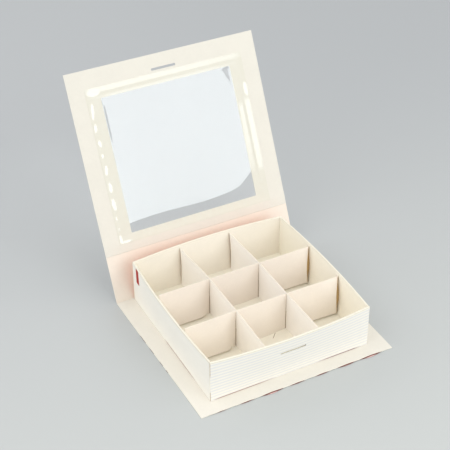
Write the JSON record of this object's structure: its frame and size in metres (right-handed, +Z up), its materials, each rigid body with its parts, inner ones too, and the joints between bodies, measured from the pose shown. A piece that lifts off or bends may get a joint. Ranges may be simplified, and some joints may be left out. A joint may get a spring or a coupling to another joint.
{
  "type": "candy box",
  "caption": "Flat cover of thin white board with a creased spine and a windowed lid, glued under a square double-walled tray that slotted strips part into cells.",
  "frame": {"origin": "under the middle of the tray, on the underside of the cover's base", "axes": "+X to the right as seen from the front, +Y from the front to the spine and lid, +Z up"},
  "size_m": [0.169, 0.234, 0.1728],
  "materials": {
    "cover_board": "smooth uncoated white board, faintly cream, with a satin print side",
    "tray_board": "smooth uncoated white board, faintly cream",
    "striped_board": "white board printed with fine pale grey level pinstripes",
    "red_printed_board": "white board printed plain red outside",
    "divider_board": "smooth uncoated white board, faintly pink cream",
    "clear_film": "clear glossy window film, slightly wavy",
    "clear_glue": "clear wet-looking beads of glue",
    "white_glue": "dried white paper glue"
  },
  "bodies": {
    "root": {"cover_base_panel": "cover_board", "tray_glue": "white_glue", "tray_floor": "tray_board", "tray_front_wall": "striped_board", "tray_rear_wall": "red_printed_board", "tray_left_wall": "tray_board", "tray_right_wall": "tray_board", "tray_front_inner_wall": "tray_board", "tray_rear_inner_wall": "tray_board", "tray_left_inner_wall": "tray_board", "tray_right_inner_wall": "tray_board", "front_left_corner_flap": "tray_board", "front_right_corner_flap": "tray_board", "rear_left_corner_flap": "tray_board", "rear_right_corner_flap": "tray_board", "divider_front_row": "divider_board", "divider_rear_row": "divider_board", "divider_left_column": "divider_board", "divider_right_column": "divider_board"},
    "spine": {"cover_spine_panel": "cover_board"},
    "lid": {"cover_lid_panel": "cover_board", "window_film": "clear_film", "window_glue": "clear_glue"}
  },
  "joints": [
    {"name": "base_spine_crease", "type": "hinge", "parent": "root", "child": "spine", "pos_m": [0, 0.0699, 0.00025], "axis": [1, 0, 0], "range_deg": [-64.5, 19.4]},
    {"name": "spine_lid_crease", "type": "hinge", "parent": "spine", "child": "lid", "pos_m": [0, 0.0869, 0.0359], "axis": [1, 0, 0], "range_deg": [0, 96]}
  ]
}
